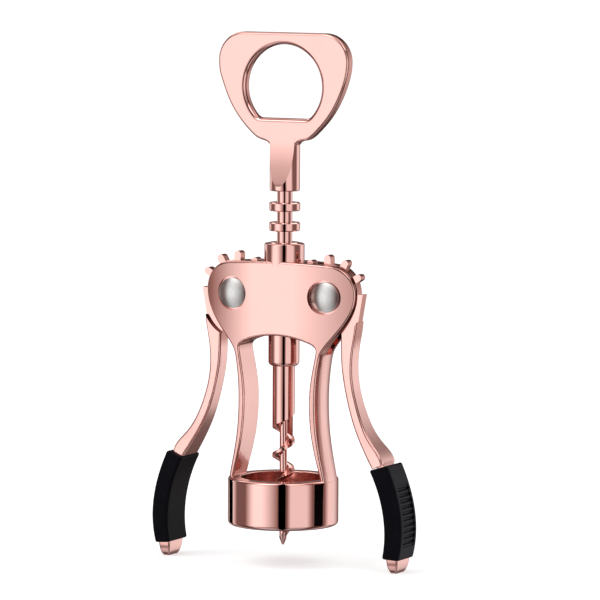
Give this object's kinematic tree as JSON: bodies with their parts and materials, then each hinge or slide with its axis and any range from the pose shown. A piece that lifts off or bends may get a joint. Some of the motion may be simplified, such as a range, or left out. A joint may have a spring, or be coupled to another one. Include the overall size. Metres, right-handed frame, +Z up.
{
  "type": "wine opener",
  "caption": "Winged double-lever corkscrew: bell frame, geared lever arms with soft grips, ringed rack, bladed worm and a cap-opener head.",
  "frame": {"origin": "centre of the bell's mouth, in the plane of its bottom rim", "axes": "+Z up the worm's axis towards the opener head, -Y the front of the plates, +X towards the right lever as seen from the front"},
  "size_m": [0.0954, 0.0378, 0.1812],
  "materials": {
    "plated_metal": "polished rose-gold plating",
    "pin_steel": "satin",
    "grip_rubber": "satin black"
  },
  "bodies": {
    "frame": {"frame_body": "plated_metal", "right_pivot_pin": "pin_steel", "left_pivot_pin": "pin_steel"},
    "right_lever": {"right_lever": "plated_metal", "right_grip": "grip_rubber"},
    "left_lever": {"left_lever": "plated_metal", "left_grip": "grip_rubber"},
    "rack": {"rack": "plated_metal"},
    "handle": {"opener_head": "plated_metal", "spindle": "pin_steel", "worm_holder": "plated_metal", "worm": "plated_metal"}
  },
  "joints": [
    {"name": "right_lever_hinge", "type": "hinge", "parent": "frame", "child": "right_lever", "pos_m": [0.0175, 0, 0.0788], "axis": [0, -1, 0], "range_deg": [0, 146.02]},
    {"name": "left_lever_hinge", "type": "hinge", "parent": "frame", "child": "left_lever", "pos_m": [-0.0175, 0, 0.0788], "axis": [0, 1, 0], "range_deg": [0, 146.02]},
    {"name": "rack_slide", "type": "slide", "parent": "frame", "child": "rack", "axis": [0, 0, -1], "range_m": [0, 0.033]},
    {"name": "handle_spin", "type": "hinge", "parent": "rack", "child": "handle", "pos_m": [0, 0, 0.1], "axis": [0, 0, 1], "continuous": true}
  ],
  "couplings": [
    {"joint": "left_lever_hinge", "follows": "right_lever_hinge", "ratio": 1},
    {"joint": "rack_slide", "follows": "right_lever_hinge", "m_per_rad": 0.012949}
  ]
}
